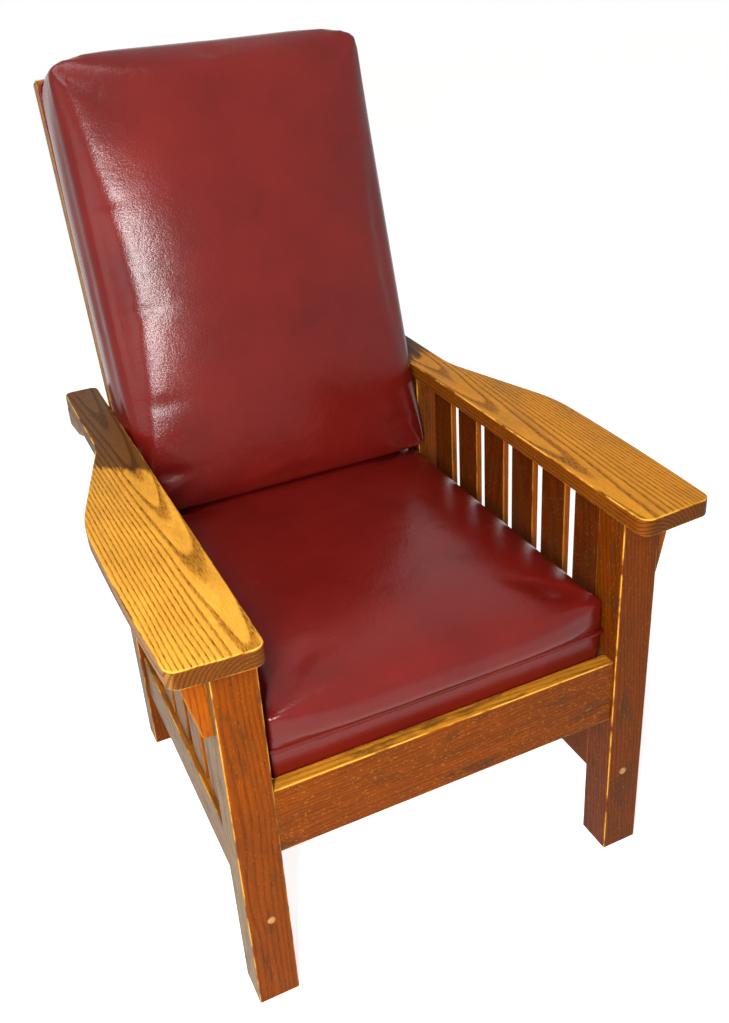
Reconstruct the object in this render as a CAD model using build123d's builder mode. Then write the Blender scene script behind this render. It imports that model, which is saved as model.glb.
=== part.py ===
from build123d import *
from math import acos, atan2, cos, degrees, hypot, radians, sin, tan
import os

os.makedirs("parts", exist_ok=True)

# All lengths in millimetres, +Z up, the chair faces -Y and right is +X.
# The origin is on the floor under the middle of the chair's outer box.

# Posts
post_gap = 509.6
front_post_width = 57.4
front_post_depth = 54.7
rear_post_width = 44.5
rear_post_depth = 44.5
post_front_to_rear = 575.5
edge_rounding = 2.0
foot_chamfer = 1.8

# Arms
arm_top = 610.0
arm_thickness = 25.4
arm_lip = 3.3
arm_front_overhang = 42.0
arm_tail_end = 795.0
arm_tail_width = 55.0
arm_widest = 122.5
arm_front_rake = 7.0
arm_front_narrowing = 10.1
arm_front_corner = 17.0
arm_rear_corner = 12.0
arm_rounding = 2.2
arm_widest_at = 332.0
arm_taper_angle = 17.0
arm_shoulder_radius = 267.0
arm_waist_radius = 166.0

# Rails
seat_rail_bottom = 255.5
seat_rail_top = 358.7
seat_rail_thickness = 22.0
front_rail_setback = 4.7
side_rail_bottom = 108.0
side_rail_height = 82.0
side_rail_thickness = 24.5
side_rail_inset = 13.7

# Joinery
joint_gap = 0.2
seat_tenon_length = 24.0
seat_tenon_thickness = 10.0
seat_tenon_shoulder = 12.0
side_tenon_length = 12.0
side_tenon_thickness = 10.0
side_tenon_shoulder = 10.0
post_tenon_length = 14.0
post_tenon_shoulder = 10.0

# Slats under the arms
slat_count = 6
slat_width = 58.0
slat_thickness = 9.5
slat_tenon_length = 8.0
slat_tenon_shoulder = 5.0

# Bolts of the side rails, under wooden plugs
plug_radius = 5.0
plug_depth = 6.0
plug_gap = 0.05
bolt_radius = 3.0
bolt_head_radius = 4.7
bolt_head_height = 4.0
bolt_reach = 90.0
bolt_gap = 0.15

# Corbels under the arms
corbel_drop = 122.6
corbel_reach = 37.0
corbel_nose = 14.5
corbel_nose_drop = 8.0
corbel_thickness = 20.0
corbel_setback = 19.0
corbel_bow = 1.4
corbel_root = 6.0
corbel_turn_out_share = 0.58
corbel_turn_up_share = 0.2

# Seat deck on its cleats
deck_top = 350.0
deck_slat_count = 5
deck_slat_width = 72.0
deck_slat_thickness = 15.0
deck_end_gap = 0.5
cleat_height = 24.0
cleat_thickness = 20.0

# Back frame, measured up the back from the hinge pivot
recline_angle = 16.4
back_arm_gap = 3.0
stile_width = 45.0
stile_depth = 25.0
stile_bottom = 8.0
stile_top = 770.7
stile_rounding = 3.0
back_rail_height = 62.0
back_rail_depth = 20.0
back_slat_count = 4
back_slat_height = 48.0
back_slat_depth = 12.0
back_tenon_length = 20.0
back_tenon_shoulder = 8.0
back_tenon_depth = 8.0

# Hinges between the rear seat rail and the back
hinge_stile_gap = 6.5
hinge_length = 64.0
hinge_leaf_height = 34.0
hinge_leaf_thickness = 2.0
hinge_barrel_radius = 4.6
hinge_pin_radius = 2.2
hinge_pin_head_radius = 3.6
hinge_pin_head_height = 1.6
hinge_running_gap = 0.05
hinge_end_gap = 0.3
hinge_rail_gap = 2.0
hinge_middle_share = 0.4
hinge_screw_radius = 1.9
hinge_screw_head_radius = 3.4
hinge_screw_length = 16.0
hinge_screw_spacing = 40.0
hinge_screw_gap = 0.1
hinge_countersink_angle = 82

# Support bar and its racks under the arm tails
bar_radius = 7.0
bar_seat_reach = 26.0
bar_end_gap = 2.0
bar_end_chamfer = 1.5
bar_arm_gap = 1.5
bar_back_gap = 0.3
bar_crest_gap = 0.3
seat_pitch = 26.2
seat_count = 3
seat_depth = 2.5
seat_radius = 8.5
recess_lead = 16.0
rack_length = 125.0
rack_ramp_length = 46.0
rack_front_height = 4.0
rack_ramp_height = 24.0
rack_rear_height = 36.0
rack_ramp_bow = 3.0
rack_rear_rounding = 14.0

# Seat cushion
seat_cushion_side_gap = 4.8
seat_cushion_front = 13.0
seat_cushion_rear = 608.0
seat_cushion_band_gap = 0.6
seat_cushion_welt_height = 58.0
seat_cushion_edge_height = 104.0
seat_cushion_crown = 24.0
seat_cushion_crown_floor = 6.0
seat_cushion_corner_drop = 12.0
seat_cushion_end_draw = 14.0
seat_cushion_edge_draw = 8.0
seat_cushion_welt_lean = 2.0
seat_cushion_lift = 0.3

# Back cushion, measured like the back frame
back_cushion_side_inset = 1.5
back_cushion_bottom = 92.0
back_cushion_top_drop = 15.7
back_cushion_thickness = 148.0
back_cushion_crown = 11.0
back_cushion_top_bulge = 15.0
back_cushion_bottom_bulge = 3.0
back_cushion_crown_floor = 3.0
back_cushion_end_draw = 16.0
back_cushion_base_draw = 12.0
back_cushion_side_swell = 5.0
back_cushion_lift = 0.3

# Where the cushions' sections stand across their width, and how full each is
half_station_shares = [(0.0, 1.0), (0.42, 0.98), (0.74, 0.86), (0.93, 0.55), (1.0, 0.12)]

# Cutters run past the faces they open
overrun = 1.0

# Places worked out from the sizes
arm_underside = arm_top - arm_thickness
post_inner = post_gap / 2
arm_inner_edge = post_inner - arm_lip
arm_tail_edge = arm_inner_edge + arm_tail_width
arm_widest_edge = arm_inner_edge + arm_widest
back_half_width = arm_inner_edge - back_arm_gap
seat_cushion_half_width = post_inner - seat_cushion_side_gap
back_cushion_half_width = back_half_width - back_cushion_side_inset
hinge_x = back_half_width - stile_width - hinge_stile_gap - hinge_length / 2
back_cushion_top = stile_top - back_cushion_top_drop
pivot_run = post_front_to_rear + rear_post_depth + hinge_leaf_thickness / 2
pivot_z = seat_rail_top + hinge_rail_gap + hinge_barrel_radius
lean = radians(recline_angle)
stile_rear = hinge_leaf_thickness / 2 + stile_depth
rear_reach = pivot_run + stile_top * sin(lean) + stile_rear * cos(lean)
front_y = (arm_front_overhang - rear_reach) / 2
rear_post_y = front_y + post_front_to_rear
rear_rail_y = rear_post_y + rear_post_depth - seat_rail_thickness
front_rail_y = front_y + front_rail_setback
pivot_y = front_y + pivot_run
arm_front_y = front_y - arm_front_overhang
arm_tail_y = front_y + arm_tail_end
arm_length = arm_tail_y - arm_front_y
side_rail_x = post_inner + side_rail_inset
slat_x = side_rail_x + side_rail_thickness / 2
side_rail_top = side_rail_bottom + side_rail_height
slat_space = post_front_to_rear - front_post_depth
slat_gap = (slat_space - slat_count * slat_width) / (slat_count + 1)

# The back's own plane: X across, Y up the back, Z out of the cushion's face
back_plane = Plane(origin=(0, pivot_y, pivot_z), x_dir=(1, 0, 0), z_dir=(0, -cos(lean), sin(lean)))
stile_front = -hinge_leaf_thickness / 2

# The bar touches the back's rear face, close under the arms
bar_half_length = arm_inner_edge + bar_seat_reach
bar_z = arm_underside - bar_arm_gap - bar_radius
bar_off = stile_rear + bar_back_gap + bar_radius
bar_rise = bar_z - pivot_z
bar_y = pivot_y + (bar_off + bar_rise * sin(lean)) / cos(lean)
bar_travel = seat_pitch * (seat_count - 1)
bar_last = bar_y + bar_travel - pivot_y
last_lean = acos(bar_off / hypot(bar_rise, bar_last)) - atan2(bar_rise, bar_last)
recline_travel = last_lean - lean
print("recline range in degrees", round(degrees(recline_travel), 3))
print("bar travel", round(bar_travel, 3), "travel per radian", round(bar_travel / recline_travel, 4))
print("pivot y, z", round(pivot_y, 3), round(pivot_z, 3), "bar y, z", round(bar_y, 3), round(bar_z, 3))


def save(piece, name):
    piece.part.label = name
    export_step(piece.part, f"parts/{name}.step")


def save_pair(piece, name):
    # The right-hand piece and its twin across the chair
    save(piece, "right_" + name)
    with BuildPart() as twin:
        mirror(piece.part, about=Plane.YZ)
    save(twin, "left_" + name)


def spread(pair, gap):
    return (pair[0] - gap, pair[1] + gap)


def from_low(low, size):
    return (low, low + size)


def about_middle(middle, size):
    return (middle - size / 2, middle + size / 2)


def timber(plane, across, along, up, mode=Mode.ADD):
    # A straight board between three pairs of faces, on the given plane
    with BuildSketch(plane.offset(up[0])) as face:
        with Locations(((across[0] + across[1]) / 2, (along[0] + along[1]) / 2)):
            Rectangle(across[1] - across[0], along[1] - along[0])
    extrude(face.sketch, amount=up[1] - up[0], mode=mode)


# Tenons, each a set of three pairs of faces, shared with its mortise
front_rail_pair = from_low(front_rail_y, seat_rail_thickness)
rear_rail_pair = from_low(rear_rail_y, seat_rail_thickness)
seat_tenon_z = (seat_rail_bottom + seat_tenon_shoulder, seat_rail_top - seat_tenon_shoulder)
front_tenon_y = about_middle(sum(front_rail_pair) / 2, seat_tenon_thickness)
rear_tenon_y = about_middle(sum(rear_rail_pair) / 2, seat_tenon_thickness)
side_tenon_x = about_middle(slat_x, side_tenon_thickness)
side_tenon_z = (side_rail_bottom + side_tenon_shoulder, side_rail_top - side_tenon_shoulder)
side_rail_y = (front_y + front_post_depth, rear_post_y)
bolt_z = (side_rail_bottom + side_rail_top) / 2


def post_tenon(inner, width, y_pair):
    x_pair = spread(from_low(inner, width), -post_tenon_shoulder)
    return x_pair, spread(y_pair, -post_tenon_shoulder), (arm_underside, arm_underside + post_tenon_length)


front_post_tenon = post_tenon(post_inner, front_post_width, from_low(front_y, front_post_depth))
rear_post_tenon = post_tenon(post_inner, rear_post_width, from_low(rear_post_y, rear_post_depth))


def make_post(width, y_pair, seat_tenon_y, top_tenon, plug_face, bolt_face_y):
    # A square post with eased edges, its top tenon, mortises and bolt hole
    with BuildPart() as post:
        timber(Plane.XY, from_low(post_inner, width), y_pair, (0, arm_underside))
        fillet(post.edges().filter_by(Axis.Z), edge_rounding)
        chamfer(post.faces().sort_by(Axis.Z)[0].edges(), foot_chamfer)
        timber(Plane.XY, *top_tenon)
        seat_mortise_x = (post_inner - overrun, post_inner + seat_tenon_length + joint_gap)
        timber(Plane.XY, seat_mortise_x, spread(seat_tenon_y, joint_gap), spread(seat_tenon_z, joint_gap),
               mode=Mode.SUBTRACT)
        side_mortise_y = spread(side_rail_y, side_tenon_length + joint_gap)
        timber(Plane.XY, spread(side_tenon_x, joint_gap), side_mortise_y, spread(side_tenon_z, joint_gap),
               mode=Mode.SUBTRACT)
        with Locations(Plane(origin=(slat_x, bolt_face_y, bolt_z), z_dir=(0, plug_face, 0))):
            CounterBoreHole(radius=bolt_radius + bolt_gap, counter_bore_radius=plug_radius + plug_gap,
                            counter_bore_depth=plug_depth + bolt_head_height + bolt_gap,
                            depth=front_post_depth + rear_post_depth)
    return post


front_post = make_post(front_post_width, from_low(front_y, front_post_depth), front_tenon_y, front_post_tenon,
                       -1, front_y)
save_pair(front_post, "front_post")
rear_post = make_post(rear_post_width, from_low(rear_post_y, rear_post_depth), rear_tenon_y, rear_post_tenon,
                      1, rear_post_y + rear_post_depth)
save_pair(rear_post, "rear_post")

# Side slats, one tenon at each end, evenly spread between the posts
slat_pitch = slat_width + slat_gap
slat_places = [from_low(side_rail_y[0] + slat_gap + i * slat_pitch, slat_width) for i in range(slat_count)]
slat_x_pair = about_middle(slat_x, slat_thickness)
slat_tenon_z = (side_rail_top - slat_tenon_length, arm_underside + slat_tenon_length)
for i, place in enumerate(slat_places):
    with BuildPart() as slat:
        timber(Plane.XY, slat_x_pair, place, (side_rail_top, arm_underside))
        timber(Plane.XY, slat_x_pair, spread(place, -slat_tenon_shoulder), slat_tenon_z)
    save_pair(slat, f"slat_{i + 1}")

# Side rails near the floor, mortised for the slats and bolted through the posts
with BuildPart() as side_rail:
    timber(Plane.XY, from_low(side_rail_x, side_rail_thickness), side_rail_y,
           (side_rail_bottom, side_rail_top))
    fillet(side_rail.edges().filter_by(Axis.Y), edge_rounding)
    timber(Plane.XY, side_tenon_x, spread(side_rail_y, side_tenon_length), side_tenon_z)
    for place in slat_places:
        timber(Plane.XY, spread(slat_x_pair, joint_gap), spread(place, joint_gap - slat_tenon_shoulder),
               (side_rail_top - slat_tenon_length - joint_gap, side_rail_top + overrun), mode=Mode.SUBTRACT)
    bolt_hole_depth = bolt_reach - front_post_depth + side_tenon_length + side_tenon_length
    for end_y, way in ((side_rail_y[0] - side_tenon_length, -1), (side_rail_y[1] + side_tenon_length, 1)):
        with Locations(Plane(origin=(slat_x, end_y, bolt_z), z_dir=(0, way, 0))):
            Hole(radius=bolt_radius + bolt_gap, depth=bolt_hole_depth)
save_pair(side_rail, "side_rail")

# Bolts and the plugs over their heads, at the four ends of the side rails
bolt_faces = [(front_y, -1), (rear_post_y + rear_post_depth, 1)]
with BuildPart() as bolts:
    for face_y, way in bolt_faces:
        for side in (-1, 1):
            head_plane = Plane(origin=(side * slat_x, face_y - way * plug_depth, bolt_z), z_dir=(0, way, 0))
            with BuildSketch(head_plane):
                Circle(bolt_head_radius)
            extrude(amount=-bolt_head_height)
            with BuildSketch(head_plane.offset(-bolt_head_height)):
                Circle(bolt_radius)
            extrude(amount=bolt_head_height - bolt_reach + plug_depth)
save(bolts, "side_rail_bolts")
with BuildPart() as plugs:
    for face_y, way in bolt_faces:
        for side in (-1, 1):
            with BuildSketch(Plane(origin=(side * slat_x, face_y, bolt_z), z_dir=(0, way, 0))):
                Circle(plug_radius)
            extrude(amount=joint_gap - plug_depth)
save(plugs, "post_plugs")

# Front and rear seat rails
for name, y_pair, tenon_y in (("front_seat_rail", front_rail_pair, front_tenon_y),
                              ("rear_seat_rail", rear_rail_pair, rear_tenon_y)):
    with BuildPart() as seat_rail:
        timber(Plane.XY, (-post_inner, post_inner), y_pair, (seat_rail_bottom, seat_rail_top))
        fillet(seat_rail.edges().filter_by(Axis.X), edge_rounding)
        timber(Plane.XY, spread((-post_inner, post_inner), seat_tenon_length), tenon_y, seat_tenon_z)
        if name == "rear_seat_rail":
            for screws_x in (-hinge_x, hinge_x):
                screw_z = pivot_z - hinge_leaf_height + hinge_leaf_height / 3
                screw_place = (screws_x, y_pair[1], screw_z)
                with Locations(Plane(origin=screw_place, x_dir=(1, 0, 0), z_dir=(0, 1, 0))):
                    with GridLocations(hinge_screw_spacing, 0, 2, 1):
                        Hole(radius=hinge_screw_radius + hinge_screw_gap, depth=hinge_screw_length)
    save(seat_rail, name)

# Cleats on the inner faces of the seat rails, and the slatted deck they carry
cleat_z = (deck_top - deck_slat_thickness - cleat_height, deck_top - deck_slat_thickness)
for name, y_pair in (("front_seat_cleat", from_low(front_rail_pair[1], cleat_thickness)),
                     ("rear_seat_cleat", from_low(rear_rail_pair[0] - cleat_thickness, cleat_thickness))):
    with BuildPart() as cleat:
        timber(Plane.XY, spread((-post_inner, post_inner), -joint_gap), y_pair, cleat_z)
    save(cleat, name)

deck_slat_pitch = (post_gap - deck_slat_width) / deck_slat_count
deck_y = spread((front_rail_pair[1], rear_rail_pair[0]), -deck_end_gap)
for i in range(deck_slat_count):
    middle = (i - (deck_slat_count - 1) / 2) * deck_slat_pitch
    with BuildPart() as deck_slat:
        timber(Plane.XY, about_middle(middle, deck_slat_width), deck_y, (cleat_z[1], deck_top))
        fillet(deck_slat.edges().filter_by(Axis.Y), edge_rounding)
    save(deck_slat, f"deck_slat_{i + 1}")

# Paddle arms: straight inside edge, swelling outside edge, narrow tail
taper = radians(arm_taper_angle)
arm_swell = arm_widest_edge - arm_tail_edge
taper_length = (arm_swell - (arm_shoulder_radius + arm_waist_radius) * (1 - cos(taper))) / sin(taper)
with BuildPart() as arm:
    with BuildSketch(Plane.XY.offset(arm_underside)):
        with BuildLine():
            front_corner = (arm_widest_edge - arm_front_narrowing, arm_front_y + arm_front_rake)
            widest = (arm_widest_edge, arm_front_y + arm_widest_at)
            TangentArc(widest, front_corner, tangent=(0, -1))
            shoulder = JernArc(widest, (0, 1), arm_shoulder_radius, arm_taper_angle)
            taper_line = PolarLine(shoulder @ 1, taper_length, direction=shoulder % 1)
            waist = JernArc(taper_line @ 1, taper_line % 1, arm_waist_radius, -arm_taper_angle)
            Polyline(waist @ 1, (arm_tail_edge, arm_tail_y), (arm_inner_edge, arm_tail_y),
                     (arm_inner_edge, arm_front_y), front_corner)
        make_face()
    extrude(amount=arm_thickness)
    upright = arm.edges().filter_by(Axis.Z).sort_by(Axis.Y)
    fillet(upright[:2], arm_front_corner)
    upright = arm.edges().filter_by(Axis.Z).sort_by(Axis.Y)
    fillet(upright[-2:], arm_rear_corner)
    fillet(arm.faces().sort_by(Axis.Z)[-1].edges(), arm_rounding)
    fillet(arm.faces().sort_by(Axis.Z)[0].edges(), arm_rounding)
    for x_pair, y_pair, z_pair in (front_post_tenon, rear_post_tenon):
        timber(Plane.XY, spread(x_pair, joint_gap), spread(y_pair, joint_gap),
               (z_pair[0] - overrun, z_pair[1] + joint_gap), mode=Mode.SUBTRACT)
    for place in slat_places:
        timber(Plane.XY, spread(slat_x_pair, joint_gap), spread(place, joint_gap - slat_tenon_shoulder),
               (arm_underside - overrun, slat_tenon_z[1] + joint_gap), mode=Mode.SUBTRACT)
save_pair(arm, "arm")

# Corbels on the outer faces of the front posts
corbel_x = post_inner + front_post_width
corbel_bottom = arm_underside - corbel_drop
corbel_turn_z = corbel_bottom + corbel_nose_drop
corbel_slope = corbel_reach - corbel_nose
with BuildPart() as corbel:
    with BuildSketch(Plane.XZ.offset(-front_y - corbel_setback)):
        with BuildLine():
            top_tip = (corbel_x + corbel_reach, arm_underside)
            turn = (corbel_x + corbel_nose, corbel_turn_z)
            bowed = (corbel_x + corbel_reach - corbel_slope / 2 + corbel_bow,
                     (arm_underside + corbel_turn_z) / 2)
            ThreePointArc(top_tip, bowed, turn)
            root = (corbel_x + corbel_root, corbel_bottom)
            nose = (corbel_x + (corbel_nose + corbel_root) * corbel_turn_out_share,
                    corbel_bottom + corbel_nose_drop * corbel_turn_up_share)
            ThreePointArc(turn, nose, root)
            Polyline(root, (corbel_x, corbel_bottom), (corbel_x, arm_underside), top_tip)
        make_face()
    extrude(amount=-corbel_thickness)
save_pair(corbel, "corbel")

# Racks under the arm tails: a ramp in front, and seats for the bar on an inside ledge
rack_front_y = arm_tail_y - rack_length
ramp_end_y = rack_front_y + rack_ramp_length
crest_z = bar_z - bar_radius - bar_crest_gap
recess_x = bar_half_length + bar_end_gap
with BuildPart() as rack:
    with BuildSketch(Plane.YZ.offset(arm_inner_edge)):
        with BuildLine():
            ramp_start = (rack_front_y, arm_underside - rack_front_height)
            ramp_end = (ramp_end_y, arm_underside - rack_ramp_height)
            ramp_middle = ((rack_front_y + ramp_end_y) / 2 + rack_ramp_bow,
                           arm_underside - (rack_front_height + rack_ramp_height) / 2 + rack_ramp_bow)
            heel = (arm_tail_y, arm_underside - rack_rear_height)
            Line((rack_front_y, arm_underside), ramp_start)
            ThreePointArc(ramp_start, ramp_middle, ramp_end)
            Polyline(ramp_end, heel, (arm_tail_y, arm_underside), (rack_front_y, arm_underside))
        make_face()
    extrude(amount=arm_tail_edge - arm_inner_edge)
    heel_edge = rack.edges().filter_by(Axis.X).group_by(Axis.Y)[-1].sort_by(Axis.Z)[0]
    fillet(heel_edge, rack_rear_rounding)
    rear_uprights = rack.edges().filter_by(Axis.Z).group_by(Axis.Y)[-1]
    chamfer(rear_uprights, arm_rear_corner / 2)
    with BuildSketch(Plane.YZ.offset(arm_inner_edge - overrun)):
        with Locations((rack_front_y - overrun, crest_z)):
            Rectangle(bar_y + bar_travel + recess_lead - rack_front_y + overrun,
                      arm_underside - crest_z + overrun, align=(Align.MIN, Align.MIN))
        seat_circle_z = crest_z - seat_depth + seat_radius
        for i in range(seat_count):
            with Locations((bar_y + i * seat_pitch, seat_circle_z)):
                Circle(seat_radius)
    extrude(amount=recess_x - arm_inner_edge + overrun, mode=Mode.SUBTRACT)
save_pair(rack, "bar_rack")

# Support bar across the chair, behind the back
with BuildPart() as support_bar:
    with BuildSketch(Plane.YZ.offset(-bar_half_length)):
        with Locations((bar_y, bar_z)):
            Circle(bar_radius)
    extrude(amount=2 * bar_half_length)
    chamfer(support_bar.edges().filter_by(GeomType.CIRCLE), bar_end_chamfer)
save(support_bar, "support_bar")

# Back frame: stiles, top and bottom rails and cross slats, tenoned together
stile_x = (back_half_width - stile_width, back_half_width)
stile_n = (stile_front - stile_depth, stile_front)
back_middle_n = stile_front - stile_depth / 2
tenon_n = about_middle(back_middle_n, back_tenon_depth)
bottom_rail_s = from_low(stile_bottom, back_rail_height)
top_rail_s = (stile_top - stile_rounding - back_rail_height, stile_top - stile_rounding)
open_space = top_rail_s[0] - bottom_rail_s[1]
back_slat_gap = (open_space - back_slat_count * back_slat_height) / (back_slat_count + 1)
back_slat_pitch = back_slat_height + back_slat_gap
back_slat_start = bottom_rail_s[1] + back_slat_gap
back_slat_places = [from_low(back_slat_start + i * back_slat_pitch, back_slat_height)
                    for i in range(back_slat_count)]
back_boards = [("back_bottom_rail", bottom_rail_s, back_rail_depth),
               ("back_top_rail", top_rail_s, back_rail_depth)]
back_boards += [(f"back_slat_{i + 1}", place, back_slat_depth) for i, place in enumerate(back_slat_places)]
hinge_screw_s = hinge_leaf_height - hinge_leaf_height / 3
screw_rows = [(-hinge_x, hinge_screw_s), (hinge_x, hinge_screw_s)]

with BuildPart() as stile:
    timber(back_plane, stile_x, (stile_bottom, stile_top), stile_n)
    fillet(stile.faces().sort_by(Axis.Z)[-1].edges(), stile_rounding)
    for name, board_s, depth in back_boards:
        timber(back_plane, (stile_x[0] - overrun, stile_x[0] + back_tenon_length + joint_gap),
               spread(board_s, joint_gap - back_tenon_shoulder), spread(tenon_n, joint_gap),
               mode=Mode.SUBTRACT)
save_pair(stile, "back_stile")

for name, board_s, depth in back_boards:
    front_n = stile_front if depth == back_rail_depth else back_middle_n + depth / 2
    with BuildPart() as board:
        timber(back_plane, (-stile_x[0], stile_x[0]), board_s, (front_n - depth, front_n))
        timber(back_plane, spread((-stile_x[0], stile_x[0]), back_tenon_length),
               spread(board_s, -back_tenon_shoulder), tenon_n)
        if name == "back_bottom_rail":
            with Locations(back_plane.offset(stile_front)):
                with Locations(*screw_rows):
                    with GridLocations(hinge_screw_spacing, 0, 2, 1):
                        Hole(radius=hinge_screw_radius + hinge_screw_gap, depth=hinge_screw_length)
    save(board, name)

# Butt hinges: two fixed knuckles below, one moving knuckle above, a headed pin
middle_length = hinge_length * hinge_middle_share
outer_length = (hinge_length - middle_length) / 2 - hinge_end_gap
knuckle_clear = hinge_barrel_radius + hinge_end_gap
knuckle_bore = hinge_pin_radius + hinge_running_gap
leaf_n = (-hinge_leaf_thickness / 2, hinge_leaf_thickness / 2)
outer_knuckles = [(-hinge_length / 2, -hinge_length / 2 + outer_length),
                  (hinge_length / 2 - outer_length, hinge_length / 2)]
middle_knuckle = [(-middle_length / 2, middle_length / 2)]
screw_head_depth = (hinge_screw_head_radius - hinge_screw_radius) / tan(radians(hinge_countersink_angle / 2))

# The fixed leaves hang from the pivot on the rear seat rail's rear face
fixed_plane = Plane(origin=(0, pivot_y, pivot_z), x_dir=(1, 0, 0), z_dir=(0, 1, 0))


def make_leaf(plane, middle_x, knuckles, others):
    # One leaf: a plate with countersunk screw holes and its bored knuckles
    with BuildPart() as leaf:
        plate = spread((middle_x, middle_x), hinge_length / 2)
        timber(plane, plate, (0, hinge_leaf_height), leaf_n)
        with Locations(plane.offset(hinge_leaf_thickness / 2)):
            with Locations((middle_x, hinge_screw_s)):
                with GridLocations(hinge_screw_spacing, 0, 2, 1):
                    CounterSinkHole(radius=hinge_screw_radius + hinge_screw_gap,
                                    counter_sink_radius=hinge_screw_head_radius + hinge_screw_gap,
                                    depth=hinge_leaf_thickness + overrun,
                                    counter_sink_angle=hinge_countersink_angle)
        for low, high in others:
            timber(plane, spread((middle_x + low, middle_x + high), hinge_end_gap), (-overrun, knuckle_clear),
                   spread(leaf_n, overrun), mode=Mode.SUBTRACT)
        for low, high in knuckles:
            with BuildSketch(Plane.YZ.offset(middle_x + low)) as ring:
                with Locations((pivot_y, pivot_z)):
                    Circle(hinge_barrel_radius)
            extrude(ring.sketch, amount=high - low)
        with BuildSketch(Plane.YZ.offset(middle_x - hinge_length / 2 - overrun)) as bore:
            with Locations((pivot_y, pivot_z)):
                Circle(knuckle_bore)
        extrude(bore.sketch, amount=hinge_length + 2 * overrun, mode=Mode.SUBTRACT)
    return leaf


for side_name, middle_x in (("left", -hinge_x), ("right", hinge_x)):
    fixed_leaf = make_leaf(fixed_plane, middle_x, outer_knuckles, middle_knuckle)
    save(fixed_leaf, f"{side_name}_hinge_fixed_leaf")
    moving_leaf = make_leaf(back_plane, middle_x, middle_knuckle, outer_knuckles)
    save(moving_leaf, f"{side_name}_hinge_moving_leaf")
    with BuildPart() as pin:
        pin_end = hinge_length / 2 + hinge_running_gap
        with BuildSketch(Plane.YZ.offset(middle_x - pin_end)):
            with Locations((pivot_y, pivot_z)):
                Circle(hinge_pin_radius)
        extrude(amount=2 * pin_end)
        for head_x in (middle_x - pin_end - hinge_pin_head_height, middle_x + pin_end):
            with BuildSketch(Plane.YZ.offset(head_x)):
                with Locations((pivot_y, pivot_z)):
                    Circle(hinge_pin_head_radius)
            extrude(amount=hinge_pin_head_height)
    save(pin, f"{side_name}_hinge_pin")

# Countersunk screws of the hinge leaves
for name, plane in (("hinge_screws_in_rail", fixed_plane), ("hinge_screws_in_back", back_plane)):
    head_plane = plane.offset(hinge_leaf_thickness / 2)
    with BuildPart() as screws:
        with BuildSketch(head_plane):
            with Locations(*screw_rows):
                with GridLocations(hinge_screw_spacing, 0, 2, 1):
                    Circle(hinge_screw_head_radius)
        extrude(amount=-screw_head_depth, taper=hinge_countersink_angle / 2)
        with BuildSketch(head_plane.offset(-screw_head_depth)):
            with Locations(*screw_rows):
                with GridLocations(hinge_screw_spacing, 0, 2, 1):
                    Circle(hinge_screw_radius)
        extrude(amount=screw_head_depth - hinge_screw_length)
    save(screws, name)

cushion_stations = [(-across, fullness) for across, fullness in half_station_shares[:0:-1]]
cushion_stations += half_station_shares

# Seat cushion: a boxed band up to the welt, then a top that bulges out and crowns
seat_base_z = deck_top + seat_cushion_lift
seat_front_band = front_rail_pair[1] + seat_cushion_band_gap
seat_rear_band = rear_rail_pair[0] - seat_cushion_band_gap
seat_front_y = front_y + seat_cushion_front
seat_rear_y = front_y + seat_cushion_rear
seat_welt_z = seat_base_z + seat_cushion_welt_height
with BuildPart() as seat_cushion:
    for across, fullness in cushion_stations:
        draw = (1 - fullness) * seat_cushion_end_draw
        edge_z = seat_base_z + seat_cushion_edge_height - (1 - fullness) * seat_cushion_corner_drop
        bulge_z = (seat_welt_z + edge_z) / 2
        crown_rise = fullness * (seat_cushion_crown - seat_cushion_crown_floor)
        crown_z = edge_z + seat_cushion_crown_floor + crown_rise
        with BuildSketch(Plane.YZ.offset(across * seat_cushion_half_width)):
            with BuildLine():
                base_front = (seat_front_band, seat_base_z)
                base_rear = (seat_rear_band, seat_base_z)
                welt_front = (seat_front_band - seat_cushion_welt_lean, seat_welt_z)
                welt_rear = (seat_rear_band + seat_cushion_welt_lean, seat_welt_z)
                top_front = (seat_front_y + draw + seat_cushion_edge_draw, edge_z)
                top_rear = (seat_rear_y - draw - seat_cushion_edge_draw, edge_z)
                Polyline(welt_front, base_front, base_rear, welt_rear)
                ThreePointArc(welt_rear, (seat_rear_y - draw, bulge_z), top_rear)
                ThreePointArc(top_rear, ((seat_front_y + seat_rear_y) / 2, crown_z), top_front)
                ThreePointArc(top_front, (seat_front_y + draw, bulge_z), welt_front)
            make_face()
    loft()
save(seat_cushion, "seat_cushion")

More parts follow.
